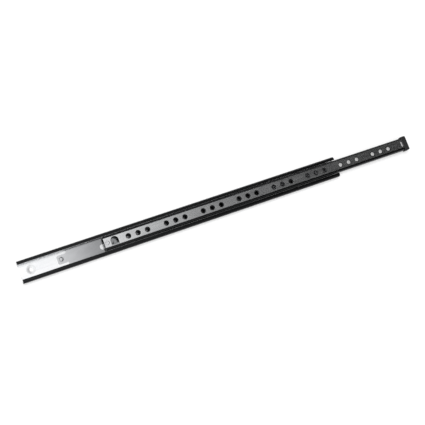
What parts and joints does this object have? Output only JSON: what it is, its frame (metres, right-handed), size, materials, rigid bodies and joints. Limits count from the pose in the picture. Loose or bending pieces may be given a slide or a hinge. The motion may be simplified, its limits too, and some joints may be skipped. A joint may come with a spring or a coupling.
{
  "type": "cabinet drawer slide",
  "caption": "Ball-bearing drawer slide with three-quarter extension: a cabinet rail, a pierced drawer rail, a ball cage, a sprung latch and an end block.",
  "frame": {"origin": "middle of the cabinet rail's back face, the face that is screwed to the cabinet side", "axes": "+X is the way the drawer opens, along the rails; +Y runs across the rail, from its lower race to its upper race when it is mounted; +Z points out of the cabinet side towards the drawer, and up when the slide lies on its back"},
  "size_m": [0.6922, 0.035, 0.0127],
  "materials": {
    "zinc_steel": "bright zinc plate",
    "cage_steel": "satin zinc plate",
    "ball_steel": "polished",
    "lever_steel": "bright zinc plate",
    "rivet_steel": "bright zinc plate",
    "spring_steel": "drawn wire",
    "black_plastic": "fine grain"
  },
  "bodies": {
    "cabinet": {"cabinet_rail": "zinc_steel"},
    "drawer": {"drawer_rail": "zinc_steel", "end_block": "black_plastic", "latch_rivet": "rivet_steel", "latch_spring": "spring_steel"},
    "cage": {"ball_cage": "cage_steel", "ball_upper_01": "ball_steel", "ball_lower_01": "ball_steel", "ball_upper_02": "ball_steel", "ball_lower_02": "ball_steel", "ball_upper_03": "ball_steel", "ball_lower_03": "ball_steel", "ball_upper_04": "ball_steel", "ball_lower_04": "ball_steel", "ball_upper_05": "ball_steel", "ball_lower_05": "ball_steel", "ball_upper_06": "ball_steel", "ball_lower_06": "ball_steel", "ball_upper_07": "ball_steel", "ball_lower_07": "ball_steel", "ball_upper_08": "ball_steel", "ball_lower_08": "ball_steel", "ball_upper_09": "ball_steel", "ball_lower_09": "ball_steel", "ball_upper_10": "ball_steel", "ball_lower_10": "ball_steel", "ball_upper_11": "ball_steel", "ball_lower_11": "ball_steel", "ball_upper_12": "ball_steel", "ball_lower_12": "ball_steel", "ball_upper_13": "ball_steel", "ball_lower_13": "ball_steel"},
    "latch": {"latch_lever": "lever_steel"}
  },
  "joints": [
    {"name": "drawer_travel", "type": "slide", "parent": "cabinet", "child": "drawer", "axis": [1, 0, 0], "range_m": [-0.1335, 0.279]},
    {"name": "cage_travel", "type": "slide", "parent": "cabinet", "child": "cage", "axis": [1, 0, 0], "range_m": [-0.0561, 0.1172]},
    {"name": "latch_pivot", "type": "hinge", "parent": "drawer", "child": "latch", "pos_m": [-0.1364, 0, 0.0107], "axis": [0, 0, 1], "range_deg": [0, 12], "stiffness_Nm_per_rad": 0.05, "springref_deg": -11.46}
  ],
  "couplings": [
    {"joint": "cage_travel", "follows": "drawer_travel", "ratio": 0.42}
  ]
}
